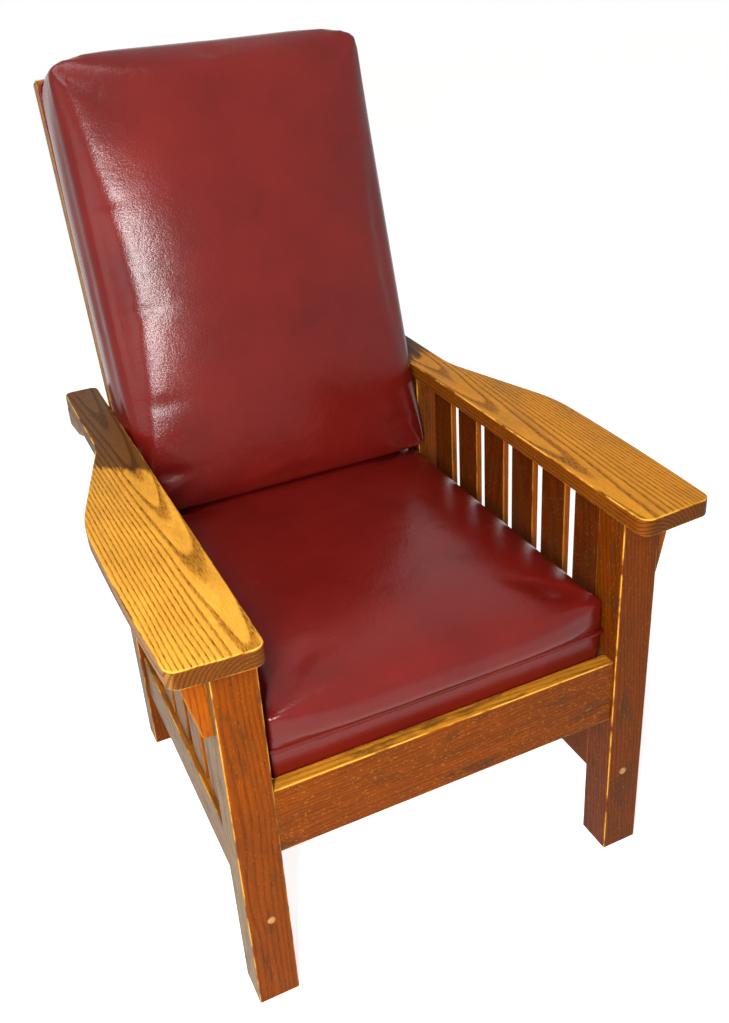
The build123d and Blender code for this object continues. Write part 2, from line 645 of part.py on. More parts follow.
# Back cushion: boxed sides that swell a little, and a crowned front
back_base_n = stile_front + back_cushion_lift
with BuildPart() as back_cushion:
    for across, fullness in cushion_stations:
        section_plane = Plane(origin=(across * back_cushion_half_width, pivot_y, pivot_z),
                              x_dir=(0, sin(lean), cos(lean)), z_dir=(1, 0, 0))
        draw = (1 - fullness) * back_cushion_end_draw
        top_s = back_cushion_top + fullness * back_cushion_top_bulge
        bottom_s = back_cushion_bottom - fullness * back_cushion_bottom_bulge
        fold_n = back_base_n + back_cushion_thickness - draw
        crown_rise = fullness * (back_cushion_crown - back_cushion_crown_floor)
        crown_n = fold_n + back_cushion_crown_floor + crown_rise
        with BuildSketch(section_plane):
            with BuildLine():
                base_low = (bottom_s + back_cushion_base_draw, back_base_n)
                base_high = (top_s - back_cushion_base_draw, back_base_n)
                fold_high = (top_s, fold_n)
                fold_low = (bottom_s, fold_n)
                Line(base_low, base_high)
                swell_high = (top_s + back_cushion_side_swell / 2, (back_base_n + fold_n) / 2)
                swell_low = (bottom_s - back_cushion_side_swell / 2, (back_base_n + fold_n) / 2)
                ThreePointArc(base_high, swell_high, fold_high)
                ThreePointArc(fold_high, ((bottom_s + top_s) / 2, crown_n), fold_low)
                ThreePointArc(fold_low, swell_low, base_low)
            make_face()
    loft()
save(back_cushion, "back_cushion")
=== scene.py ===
from functools import partial

import bpy
import numpy as np
from mathutils import Matrix, Vector


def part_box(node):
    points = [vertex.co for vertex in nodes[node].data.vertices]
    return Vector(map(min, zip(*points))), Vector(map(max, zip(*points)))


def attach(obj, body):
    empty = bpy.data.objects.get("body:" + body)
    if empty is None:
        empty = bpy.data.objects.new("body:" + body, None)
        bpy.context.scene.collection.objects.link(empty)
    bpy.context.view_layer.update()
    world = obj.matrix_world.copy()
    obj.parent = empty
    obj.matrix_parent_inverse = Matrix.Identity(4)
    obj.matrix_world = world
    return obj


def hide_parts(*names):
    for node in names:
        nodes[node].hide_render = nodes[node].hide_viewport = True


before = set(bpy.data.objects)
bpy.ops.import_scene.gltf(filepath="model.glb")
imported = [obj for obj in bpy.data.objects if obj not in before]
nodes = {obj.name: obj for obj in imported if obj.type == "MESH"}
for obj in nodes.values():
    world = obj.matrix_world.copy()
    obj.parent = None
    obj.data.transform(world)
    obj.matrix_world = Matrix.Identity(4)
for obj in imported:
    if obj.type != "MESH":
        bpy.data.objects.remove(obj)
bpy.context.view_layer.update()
scene = bpy.context.scene
print("frame loaded,", len(nodes), "nodes")


def linearFrom(hexText):
    # sRGB hex to linear RGBA: c / 12.92 up to 0.04045, and ((c + 0.055) / 1.055) ^ 2.4 above it
    part = [int(hexText[i:i + 2], 16) / 255 for i in (1, 3, 5)]
    return tuple(c / 12.92 if c <= 0.04045 else ((c + 0.055) / 1.055) ** 2.4 for c in part) + (1.0,)


def addNode(tree, kind, inputs=None, out=0, stops=(), **settings):
    # One shader node with its settings; an input is a value or another node's output. A ramp's stops
    # are its first, its last and then those between.
    node = tree.nodes.new("ShaderNode" + kind)
    for key, value in settings.items():
        setattr(node, key, value)
    for number, (place, colour) in enumerate(stops):
        points = node.color_ramp.elements
        point = points[number] if number < 2 else points.new(place)
        point.position = place
        point.color = linearFrom(colour) if isinstance(colour, str) else (colour, colour, colour, 1)
    for socket, given in (inputs or {}).items():
        if isinstance(given, bpy.types.NodeSocket):
            tree.links.new(given, node.inputs[socket])
        else:
            node.inputs[socket].default_value = given
    return node.outputs[out] if out is not None else node


def startMaterial(name):
    # an empty material: one Principled shader straight into the output
    material = bpy.data.materials.new(name)
    material.use_nodes = True
    tree = material.node_tree
    tree.nodes.clear()
    surface = addNode(tree, "BsdfPrincipled", out=None)
    addNode(tree, "OutputMaterial", {"Surface": surface.outputs[0]}, out=None)
    return material, tree, surface


def giveMaterial(piece, material):
    # the material becomes the piece's only one
    piece.data.materials.clear()
    piece.data.materials.append(material)


# The camera stands where the photograph was taken: in front, to the left and above
camera = {
    "place": (-0.5132, -1.3416, 1.2992),
    "right": (0.902126, -0.427472, -0.058612),
    "up": (0.247426, 0.401239, 0.881923),
    "back": (-0.35348, -0.810108, 0.467736),
    "lens": 37.07,
    "shift": (0.0003, -0.0376),
}
cameraData = bpy.data.cameras.new("camera")
cameraData.sensor_width = 36
cameraData.lens = camera["lens"]
cameraData.shift_x, cameraData.shift_y = camera["shift"]
cameraData.clip_start = 0.05
cameraPiece = bpy.data.objects.new("camera", cameraData)
scene.collection.objects.link(cameraPiece)
turn = Matrix((camera["right"], camera["up"], camera["back"])).transposed()
cameraPiece.matrix_world = Matrix.Translation(camera["place"]) @ turn.to_4x4()
scene.camera = cameraPiece
print("camera set")


# Pale painted floor that takes a soft shadow. A glow that only the camera, mirrors and glass see
# lifts it to the white background.
stage = {
    "floor": "#EFEEEC", "roughness": 0.9, "specular": 0.1, "glow": 0.80, "halfSize": 9.0, "skylight": 0.20,
}


def makeStage():
    # seen = the largest of Is Camera, Is Glossy and Is Transmission Ray. The floor glows by glow x seen,
    # and the world goes from its soft skylight at seen 0 to plain white at seen 1.
    material, floorTree, surface = startMaterial("mattPaintedFloor")
    surface.inputs["Base Color"].default_value = linearFrom(stage["floor"])
    surface.inputs["Roughness"].default_value = stage["roughness"]
    surface.inputs["Specular IOR Level"].default_value = stage["specular"]
    world = bpy.data.worlds.new("studio")
    scene.world = world
    world.use_nodes = True
    world.node_tree.nodes.clear()
    seen = []
    for tree in (floorTree, world.node_tree):
        path = addNode(tree, "LightPath", out=None).outputs
        most = addNode(tree, "Math", {0: path["Is Camera Ray"], 1: path["Is Glossy Ray"]},
                       operation="MAXIMUM")
        seen.append(addNode(tree, "Math", {0: most, 1: path["Is Transmission Ray"]}, operation="MAXIMUM"))

    strength = addNode(floorTree, "Math", {0: seen[0], 1: stage["glow"]}, operation="MULTIPLY")
    glow = addNode(floorTree, "Emission", {"Strength": strength})
    both = addNode(floorTree, "AddShader", {0: surface.outputs[0], 1: glow})
    floorTree.links.new(both, floorTree.nodes["Material Output"].inputs["Surface"])
    h = stage["halfSize"]
    mesh = bpy.data.meshes.new("floor")
    mesh.from_pydata([(-h, -h, 0), (h, -h, 0), (h, h, 0), (-h, h, 0)], [], [(0, 1, 2, 3)])
    floor = bpy.data.objects.new("floor", mesh)
    scene.collection.objects.link(floor)
    giveMaterial(floor, material)

    soft = addNode(world.node_tree, "Background", {"Color": (1, 1, 1, 1), "Strength": stage["skylight"]})
    plain = addNode(world.node_tree, "Background", {"Color": (1, 1, 1, 1), "Strength": 1.0})
    both = addNode(world.node_tree, "MixShader", {0: seen[1], 1: soft, 2: plain})
    addNode(world.node_tree, "OutputWorld", {"Surface": both}, out=None)


# Softboxes. The key is a tall narrow strip left of the camera, which puts a long gleam down the left
# side of the back cushion.
lamps = {  # name: place, aims at, width, height, watts
    "keyLamp": ((-0.72, -1.38, 1.30), (0.0, 0.05, 0.80), 0.18, 0.95, 34),
    "topLamp": ((-0.6, -0.4, 2.5), (0.0, 0.0, 0.5), 1.0, 1.0, 17),
    "fillLamp": ((-2.4, -1.2, 1.3), (0.0, 0.0, 0.4), 1.2, 1.2, 9),
}


def makeLamps():
    # each lamp looks along the line from its place to its aim, with its height upright
    for name, (place, aim, width, height, watts) in lamps.items():
        data = bpy.data.lights.new(name, "AREA")
        data.shape = "RECTANGLE"
        data.size, data.size_y = width, height
        data.energy = watts
        lamp = bpy.data.objects.new(name, data)
        scene.collection.objects.link(lamp)
        lamp.location = place
        lamp.rotation_euler = (Vector(aim) - Vector(place)).to_track_quat("-Z", "Y").to_euler()


makeStage()
makeLamps()
scene.view_settings.view_transform = "Standard"
print("stage and lamps set")


# Where the back leans from, in metres: the hinges' pivot line and the angle from upright
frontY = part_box("left_front_post")[0].y
hinge = {"behindFront": 0.621, "height": 0.3653, "leanDegrees": 16.4}
lean = np.radians(hinge["leanDegrees"])

# Fumed oak, plain sawn, under an old amber varnish. Sawing across the growth rings gives long dark
# pore lines that close into arches over the heart of the board; handling has rubbed the edges bright.
# Light and shade are painted into the colour by the way a face looks: paler on the tops and on the
# outer faces, as painted light, and darker on the inner faces, as painted shade.
oak = {
    "pore": "#4A2608", "grime": "#4A2C12", "rub": "#F0AA3E", "roughness": 0.42, "specular": 0.06,
    # darkness of one ring from its inner side to its outer, and what it leaves of the colour
    "earlyWood": [(0.0, 0.2), (1.0, 0.15), (0.06, 1.0), (0.26, 0.85), (0.44, 0.1), (0.94, 0.0)],
    "ringTint": (0.42, 0.33, 0.24, 1),
    "lateWoodPores": 0.18,  # share of the pores that are left where a ring is pale
    "streakShade": 0.55, "cloudShade": 0.75, "tailWander": 0.09,
    "edgeWide": 0.004, "besideEdge": 0.55, "bumpDeep": 0.0005, "bumpStrength": 0.3,
}
# Noises drawn out along the fibres: length and width of a patch in mm, detail, roughness, and the soft
# step between two values, if any, that turns the noise into patches. A board sets its pores' length.
# Real pores are about 0.3 mm wide and rings 2 to 4 mm; both are drawn as coarse as they need to show.
oakNoises = {
    "wander": (380, 60, 2.0, 0.5, None),
    "pores": (None, 0.8, 1.0, 0.5, (0.50, 0.62)),
    "streak": (240, 5, 3.0, 0.6, None),
    "cloud": (75, 30, 4.0, 0.6, None),
    "fleck": (5, 2, 2.0, 0.5, (0.62, 0.70)),
    "tail": (40, 5, 4.0, 0.5, None),
    "stain": (90, 26, 5.0, 0.7, (0.50, 0.66)),
    "broken": (38, 38, 4.0, 0.5, (0.36, 0.56)),
}
# the axis along the fibres first; S is the back's own upward direction, which is Z once the lean is undone
fibreAxes = {"X": (0, 1, 2), "Y": (1, 0, 2), "Z": (2, 0, 1), "S": (2, 0, 1)}
softStep = {"interpolation_type": "SMOOTHSTEP"}


def makeOak(name, board, seed):
    # Rings are cylinders round a heart line that lies off the board and runs a little askew: the distance
    # from that line, plus a slow wander, over the ring width, and the fraction of that darkens the early
    # wood. Colour = the colour of the way the face looks x (streaks + clouds), then darkened by rings,
    # pores and grime, and brightened by flecks and wear at the edges.
    material, tree, surface = startMaterial(name)
    node = partial(addNode, tree)
    rng = np.random.default_rng(seed)
    place = node("TexCoord", out="Object")
    normal = node("NewGeometry", out="Normal")
    if board["grain"] == "S":
        place = node("VectorRotate", {"Vector": place, "Angle": lean}, rotation_type="X_AXIS")
        normal = node("VectorRotate", {"Vector": normal, "Angle": lean}, rotation_type="X_AXIS")
    axes = node("SeparateXYZ", {0: place}, out=None).outputs
    along, across, through = fibreAxes[board["grain"]]
    fibre = node("CombineXYZ", {0: axes[along], 1: axes[across], 2: axes[through]})
    noise = {}
    for key, (longMm, wideMm, detail, roughness, step) in oakNoises.items():
        if key == "tail" and "tail" not in board:
            continue
        scale = (1000 / (longMm or board["poreLongMm"]), 1000 / wideMm, 1000 / wideMm)
        moved = node("Mapping", {"Vector": fibre, "Location": tuple(rng.uniform(-9, 9, 3)), "Scale": scale})
        noise[key] = node("TexNoise", {"Vector": moved, "Scale": 1.0, "Detail": detail,
                                       "Roughness": roughness})
        if step:
            noise[key] = node("MapRange", {"Value": noise[key], "From Min": step[0], "From Max": step[1]},
                              **softStep)

    heart = node("Mapping", {"Vector": fibre, "Location": (0, board["heart"][0], board["heart"][1]),
                             "Rotation": (0, board["askew"][0], board["askew"][1])})
    heart = node("VectorMath", {0: heart, 1: (0, 1, 1)}, operation="MULTIPLY")
    radius = node("VectorMath", {0: heart}, out="Value", operation="LENGTH")
    radius = node("Math", {0: noise["wander"], 1: board["wander"], 2: radius}, operation="MULTIPLY_ADD")
    ring = node("Math", {0: radius, 1: 1000 / board["ringMm"]}, operation="MULTIPLY")
    ring = node("Math", {0: ring}, operation="FRACT")
    early = node("ValToRGB", {"Fac": ring}, stops=oak["earlyWood"])
    few = oak["lateWoodPores"]
    porous = node("Math", {0: early, 1: 1 - few, 2: few}, operation="MULTIPLY_ADD")
    pores = node("Math", {0: noise["pores"], 1: porous}, operation="MULTIPLY")

    # which way the face looks: up, outward from the chair, or inward. The colours for these are painted
    # light and shade: tops and outward faces paler, as painted light, inward faces darker, as painted shade.
    side = node("Math", {0: axes[0]}, operation="SIGN")
    looks = node("SeparateXYZ", {0: normal}, out=None).outputs
    outward = node("Math", {0: looks[0], 1: side}, operation="MULTIPLY")
    inward = node("Math", {0: outward, 1: -1.0}, operation="MULTIPLY")
    colour = linearFrom(board["front"])
    for key, facing in (("top", looks[2]), ("outer", outward), ("inner", inward)):
        much = node("MapRange", {"Value": facing, "From Min": 0.35, "From Max": 0.8}, **softStep)
        colour = node("Mix", {0: much, 6: colour, 7: linearFrom(board[key])}, out=2, data_type="RGBA")
    if "tail" in board:
        # behind an uneven slanted line the arm's tail is coloured a darker brown
        start, slant, tailColour = board["tail"]
        offMiddle = node("Math", {0: axes[0]}, operation="ABSOLUTE")
        line = node("Math", {0: offMiddle, 1: -slant, 2: axes[1]}, operation="MULTIPLY_ADD")
        line = node("Math", {0: noise["tail"], 1: oak["tailWander"], 2: line}, operation="MULTIPLY_ADD")
        middle = start + oak["tailWander"] / 2
        much = node("MapRange", {"Value": line, "From Min": middle - 0.010, "From Max": middle + 0.014},
                    **softStep)
        colour = node("Mix", {0: much, 6: colour, 7: linearFrom(tailColour)}, out=2, data_type="RGBA")

    # light and dark along the fibres, both about 1 in the middle, then rings, pores, grime and flecks
    streaky = oak["streakShade"] * board["figure"]
    cloudy = oak["cloudShade"]
    least = 1 - streaky / 2 - cloudy / 2
    shade = node("Math", {0: noise["streak"], 1: streaky, 2: least}, operation="MULTIPLY_ADD")
    shade = node("Math", {0: noise["cloud"], 1: cloudy, 2: shade}, operation="MULTIPLY_ADD")
    colour = node("Mix", {0: 1.0, 6: colour, 7: shade}, out=2, data_type="RGBA", blend_type="MULTIPLY")
    dark = node("Mix", {0: 1.0, 6: colour, 7: oak["ringTint"]}, out=2, data_type="RGBA",
                blend_type="MULTIPLY")
    much = node("Math", {0: early, 1: board["rings"]}, operation="MULTIPLY")
    colour = node("Mix", {0: much, 6: colour, 7: dark}, out=2, data_type="RGBA")
    marks = (("pores", pores, "pore"), ("grime", noise["stain"], "grime"), ("flecks", noise["fleck"], "rub"))
    for key, found, tint in marks:
        much = node("Math", {0: found, 1: board[key]}, operation="MULTIPLY")
        colour = node("Mix", {0: much, 6: colour, 7: linearFrom(oak[tint])}, out=2, data_type="RGBA")

    # rubbed edges: the eased corner itself, where the face looks between two of the board's directions,
    # and a fading strip beside it found with a Bevel node. A curved board has only up and level.
    bevel = node("Bevel", {"Radius": oak["edgeWide"]}, samples=6)
    flat = node("NewGeometry", out="Normal")
    bend = node("VectorMath", {0: bevel, 1: flat}, out="Value", operation="DOT_PRODUCT")
    beside = node("MapRange", {"Value": bend, "From Min": 0.995, "From Max": 0.90}, **softStep)
    parts = node("VectorMath", {0: normal}, operation="ABSOLUTE")
    parts = node("SeparateXYZ", {0: parts}, out=None).outputs
    if board["curved"]:
        level = node("Math", {0: parts[2], 1: parts[2]}, operation="MULTIPLY")
        level = node("Math", {0: 1.0, 1: level}, operation="SUBTRACT")
        level = node("Math", {0: level, 1: 0.5}, operation="POWER")
    else:
        level = node("Math", {0: parts[0], 1: parts[1]}, operation="MAXIMUM")
    square = node("Math", {0: level, 1: parts[2]}, operation="MAXIMUM")
    eased = node("MapRange", {"Value": square, "From Min": 0.985, "From Max": 0.90}, **softStep)
    worn = node("Math", {0: beside, 1: oak["besideEdge"]}, operation="MULTIPLY")
    worn = node("Math", {0: worn, 1: eased}, operation="MAXIMUM")
    rubbed = node("Math", {0: noise["broken"], 1: board["rub"]}, operation="MULTIPLY")
    worn = node("Math", {0: worn, 1: rubbed}, operation="MULTIPLY")
    colour = node("Mix", {0: worn, 6: colour, 7: linearFrom(oak["rub"])}, out=2, data_type="RGBA")
    tree.links.new(colour, surface.inputs["Base Color"])

    # roughness follows the clouds and the pores; the pores are cut in, the streaks stand up
    rough = node("Math", {0: noise["cloud"], 1: 0.25, 2: oak["roughness"] - 0.125}, operation="MULTIPLY_ADD")
    rough = node("Math", {0: pores, 1: 0.2, 2: rough}, operation="MULTIPLY_ADD")
    tree.links.new(rough, surface.inputs["Roughness"])
    height = node("Math", {0: pores, 1: -1.0, 2: noise["streak"]}, operation="MULTIPLY_ADD")
    bump = node("Bump", {"Height": height, "Normal": bevel, "Strength": oak["bumpStrength"],
                         "Distance": oak["bumpDeep"]})
    tree.links.new(bump, surface.inputs["Normal"])
    surface.inputs["Specular IOR Level"].default_value = oak["specular"]
    return material


# grain: the axis along the fibres; front: the oak's own colour; the top, outward and inward colours: that
# oak with light and shade painted in, paler where a face looks up or out, as painted light, and darker
# where it looks in, as painted shade; heart: where the tree's middle lies beside the board, in metres;
# the last two lines: strengths from 0 to about 1
plainBoard = {
    "grain": "Z", "top": "#A8601A", "front": "#803A02", "outer": "#8A683C", "inner": "#703003",
    "heart": (0.05, 0.16), "askew": (0.02, 0.03), "wander": 0.025, "ringMm": 5.0, "poreLongMm": 22.0,
    "curved": False, "figure": 1.2, "rings": 0.4, "pores": 0.5,
    "grime": 0.7, "flecks": 0.12, "rub": 0.85,
}
armBoard = {
    **plainBoard, "grain": "Y", "front": "#6E3C10", "outer": "#9C6A30", "inner": "#83450E",
    "wander": 0.010, "poreLongMm": 11.0, "curved": True, "figure": 0.45, "rings": 0.75, "pores": 0.85,
    "grime": 0.06, "flecks": 0.1, "rub": 0.95,
}
crossBoard = {**plainBoard, "grain": "X", "front": "#8F531C", "rub": 0.5}
# what differs from side to side: the arm's top, painted lighter on the left than on the right as light
# that falls off across the chair; where its dark tail starts behind the front; the front post, painted
# darker on the right as the same painted shade
sideOak = {
    "left": {"toward": -1, "litArmTop": "#E4A038", "tailStart": 0.225, "post": "#843C02"},
    "right": {"toward": 1, "litArmTop": "#D68C24", "tailStart": 0.385, "post": "#743402"},
}
boards = {}
for side, own in sideOak.items():
    # the heart lies under the inner side of the arm, so the arches fall there
    boards[side + "_arm"] = {
        **armBoard, "top": own["litArmTop"], "heart": (-own["toward"] * 0.272, -0.572),
        "askew": (0.03, -own["toward"] * 0.012), "tail": (frontY + own["tailStart"], 0.8, "#6B431C"),
    }
    boards[side + "_front_post"] = {**plainBoard, "front": own["post"], "rub": 0.95}
    boards[side + "_rear_post"] = {**plainBoard, "front": "#7C3A0C"}
    boards[side + "_side_rail"] = {**plainBoard, "grain": "Y"}
    boards[side + "_corbel"] = {**plainBoard, "front": "#A4500A", "grime": 0.25}
    boards[side + "_bar_rack"] = {**plainBoard, "grain": "Y", "front": "#7C4A1E"}
    boards[side + "_back_stile"] = {**plainBoard, "grain": "S", "front": "#A07440", "outer": "#A5753A"}
    for number in range(1, 7):
        boards[f"{side}_slat_{number}"] = {
            **plainBoard, "front": "#96480A", "inner": "#5E2404", "outer": "#85613A",
        }
boards["front_seat_rail"] = {
    **plainBoard, "grain": "X", "front": "#823C05", "top": "#BE7D22", "rub": 1.0, "flecks": 0.25,
}
for name in ("rear_seat_rail", "back_top_rail", "back_bottom_rail", "support_bar"):
    boards[name] = crossBoard
for number in range(1, 5):
    boards[f"back_slat_{number}"] = crossBoard
for seed, (name, board) in enumerate(sorted(boards.items())):
    giveMaterial(nodes[name], makeOak("varnishedOak_" + name, board, seed))
print("oak given to", len(boards), "boards")


# Plainer finishes of the parts that are mostly hidden: two colours of a cloud, its length and width in mm
plainFinishes = {
    # bare softwood off the saw: pale, dry and a little furry
    "sawnPine": {
        "colours": ("#A98355", "#CDA874"), "cloudMm": (110, 9),
        "roughness": 0.7, "metallic": 0.0, "bumpMm": 0.3,
    },
    # oak end grain turned for plugs and rubbed flush: paler than the posts
    "turnedOakPlug": {
        "colours": ("#9A6428", "#D0995A"), "cloudMm": (3, 3),
        "roughness": 0.5, "metallic": 0.0, "bumpMm": 0.2,
    },
    # pressed brass gone brown, brighter where it rubs
    "agedPressedBrass": {
        "colours": ("#6E5226", "#9C7B3C"), "cloudMm": (14, 14),
        "roughness": 0.42, "metallic": 1.0, "bumpMm": 0.0,
    },
    # mild steel turned and left bare, dulled by age
    "dullTurnedSteel": {
        "colours": ("#6A6660", "#8B8780"), "cloudMm": (10, 10),
        "roughness": 0.45, "metallic": 1.0, "bumpMm": 0.0,
    },
}


def makePlain(name, finish):
    # One noise, drawn out along Y, mixes the two colours, moves the roughness by a tenth either way and is
    # the height of the bump.
    material, tree, surface = startMaterial(name)
    node = partial(addNode, tree)
    across, along = 1000 / finish["cloudMm"][1], 1000 / finish["cloudMm"][0]
    scaled = node("Mapping", {"Vector": node("TexCoord", out="Object"), "Scale": (across, along, across)})
    cloud = node("TexNoise", {"Vector": scaled, "Scale": 1.0, "Detail": 5.0})
    low, high = finish["colours"]
    colour = node("ValToRGB", {"Fac": cloud}, stops=[(0.35, low), (0.65, high)])
    tree.links.new(colour, surface.inputs["Base Color"])
    rough = node("Math", {0: cloud, 1: 0.2, 2: finish["roughness"] - 0.1}, operation="MULTIPLY_ADD")
    tree.links.new(rough, surface.inputs["Roughness"])
    surface.inputs["Metallic"].default_value = finish["metallic"]
    if finish["bumpMm"]:
        bump = node("Bump", {"Height": cloud, "Strength": 0.4, "Distance": finish["bumpMm"] / 1000})
        tree.links.new(bump, surface.inputs["Normal"])
    return material


plain = {name: makePlain(name, finish) for name, finish in plainFinishes.items()}
for name, piece in nodes.items():
    if name.startswith("deck_slat") or name.endswith("cleat"):
        giveMaterial(piece, plain["sawnPine"])
    elif name == "post_plugs":
        giveMaterial(piece, plain["turnedOakPlug"])
    elif name.endswith("leaf"):
        giveMaterial(piece, plain["agedPressedBrass"])
    elif name.endswith("pin") or "screws" in name or "bolts" in name:
        giveMaterial(piece, plain["dullTurnedSteel"])
print("plain finishes given")


# Upholstery hide, drum dyed oxblood, plated under heat to a low gloss and pressed with a fine pebble
# grain: one even deep red, a soft broad gleam, and small creases where it was pulled over the stuffing.
# The real pebble is about 1 mm across and is drawn coarser, so that it still shows in the picture.
leather = {
    "deep": "#5E100B", "mid": "#6A140F", "warm": "#731811", "roughness": 0.22, "specular": 0.27,
    "mottleMm": 120, "creaseMm": 55.0, "pebbleMm": 2.6, "grainMm": 3.6,
    "pebbleDeep": 0.0004, "pebbleStrength": 0.50, "creaseDeep": 0.004, "creaseStrength": 0.25,
}


def makeLeather(name):
    # Colour: a slow noise over three close reds. Roughness: the fine grain noise, a tenth either way.
    # Height: grain - 0.6 x distance to the middle of the pebble, on top of slow creases.
    material, tree, surface = startMaterial(name)
    node = partial(addNode, tree)
    place = node("TexCoord", out="Object")
    mottle = node("TexNoise", {"Vector": place, "Scale": 1000 / leather["mottleMm"], "Detail": 4.0,
                               "Roughness": 0.55})
    reds = [(0.25, leather["deep"]), (0.75, leather["warm"]), (0.5, leather["mid"])]
    tree.links.new(node("ValToRGB", {"Fac": mottle}, stops=reds), surface.inputs["Base Color"])
    pebble = node("TexVoronoi", {"Vector": place, "Scale": 1000 / leather["pebbleMm"]}, feature="SMOOTH_F1")
    grain = node("TexNoise", {"Vector": place, "Scale": 1000 / leather["grainMm"], "Detail": 3.0,
                              "Roughness": 0.7})
    crease = node("TexNoise", {"Vector": place, "Scale": 1000 / leather["creaseMm"], "Detail": 3.0,
                               "Roughness": 0.5, "Distortion": 0.6})
    rough = node("Math", {0: grain, 1: 0.22, 2: leather["roughness"] - 0.11}, operation="MULTIPLY_ADD")
    tree.links.new(rough, surface.inputs["Roughness"])
    height = node("Math", {0: pebble, 1: -0.6, 2: grain}, operation="MULTIPLY_ADD")
    fine = node("Bump", {"Height": height, "Strength": leather["pebbleStrength"],
                         "Distance": leather["pebbleDeep"]})
    wide = node("Bump", {"Height": crease, "Normal": fine, "Strength": leather["creaseStrength"],
                         "Distance": leather["creaseDeep"]})
    tree.links.new(wide, surface.inputs["Normal"])
    surface.inputs["Specular IOR Level"].default_value = leather["specular"]
    return material


hide = makeLeather("platedOxbloodHide")

# The seat cushion, in metres from the front of the posts, and the back cushion, from the hinge pivot up
# the back and out of it. Across, along and out are each cushion's own three directions.
seatCushion = {
    "halfAcross": 0.2522, "low": 0.0275, "high": 0.5965, "base": 0.3508, "welt": 0.3985, "fold": 0.4590,
    # the roll from the sides to the crown: width along the sides, at the low end and at the high end
    "rollWide": (0.035, 0.034, 0.035),
    # and its depth there, and at the corners
    "rollDeep": (0.024, 0.028, 0.018), "rollCorner": 0.010, "rollPower": 0.5,
    "crown": 0.019, "crownPower": 4.0, "cornerDrop": 0.003, "cornerPull": 0.0,
    # how far the sides swell between the corners, and how far the ends of the base are drawn in
    "swellAcross": 0.0, "swellLow": 0.014, "swellHigh": 0.009, "drawBase": 0.0,
    "cap": 0.0016, "pressure": 3.0, "voxel": 0.006, "weltRadius": 0.0032, "weltOut": 0.0006,
    # dimples: across, along, half lengths across and along, depth
    "dimples": [
        (-0.16, 0.10, 0.05, 0.02, 0.001), (0.10, 0.20, 0.07, 0.03, 0.0015), (0.02, 0.40, 0.09, 0.05, 0.002),
    ],
}
backCushion = {
    "halfAcross": 0.2485, "low": 0.0830, "high": 0.7640, "base": 0.0010, "welt": 0.0170, "fold": 0.1240,
    "rollWide": (0.026, 0.036, 0.050),
    "rollDeep": (0.016, 0.020, 0.024), "rollCorner": 0.007, "rollPower": 0.7,
    "crown": 0.042, "crownPower": 2.1, "cornerDrop": 0.004, "cornerPull": 0.0015,
    "swellAcross": 0.0015, "swellLow": 0.004, "swellHigh": 0.022, "drawBase": 0.012,
    "cap": 0.004, "pressure": 3.0, "voxel": 0.0065, "weltRadius": 0.0030, "weltOut": -0.0012,
    "dimples": [
        (-0.200, 0.145, 0.026, 0.011, 0.0035), (-0.190, 0.400, 0.030, 0.010, 0.0014),
        (-0.212, 0.565, 0.022, 0.010, 0.0012), (-0.185, 0.255, 0.030, 0.014, 0.0012),
        (0.200, 0.330, 0.028, 0.012, 0.0015), (0.205, 0.600, 0.024, 0.010, 0.0015),
        (0.190, 0.140, 0.022, 0.010, 0.003), (0.02, 0.36, 0.10, 0.11, 0.003),
    ],
}


def addPiece(name, verts, faces):
    # a smooth shaded object of the points and faces, with its place in its mesh
    mesh = bpy.data.meshes.new(name)
    mesh.from_pydata(verts.tolist(), [], faces)
    mesh.validate()
    mesh.polygons.foreach_set("use_smooth", np.ones(len(mesh.polygons), bool))
    piece = bpy.data.objects.new(name, mesh)
    scene.collection.objects.link(piece)
    return piece


def roundedBox(around, halfX, halfY, power=60):
    # a superellipse of high power, which is a rectangle with small round corners: (u, v) on the unit
    # square, at even angles, times (|u|^power + |v|^power)^(-1 / power); each side has a quarter of them
    share = np.linspace(-1, 1, around // 4, endpoint=False)
    run = np.tan(share * np.pi / 4)
    one = np.ones_like(run)
    u = np.concatenate([one, -run, -one, run])
    v = np.concatenate([run, one, -run, -one])
    scale = (np.abs(u) ** power + np.abs(v) ** power) ** (-1 / power)
    return u * scale * halfX, v * scale * halfY


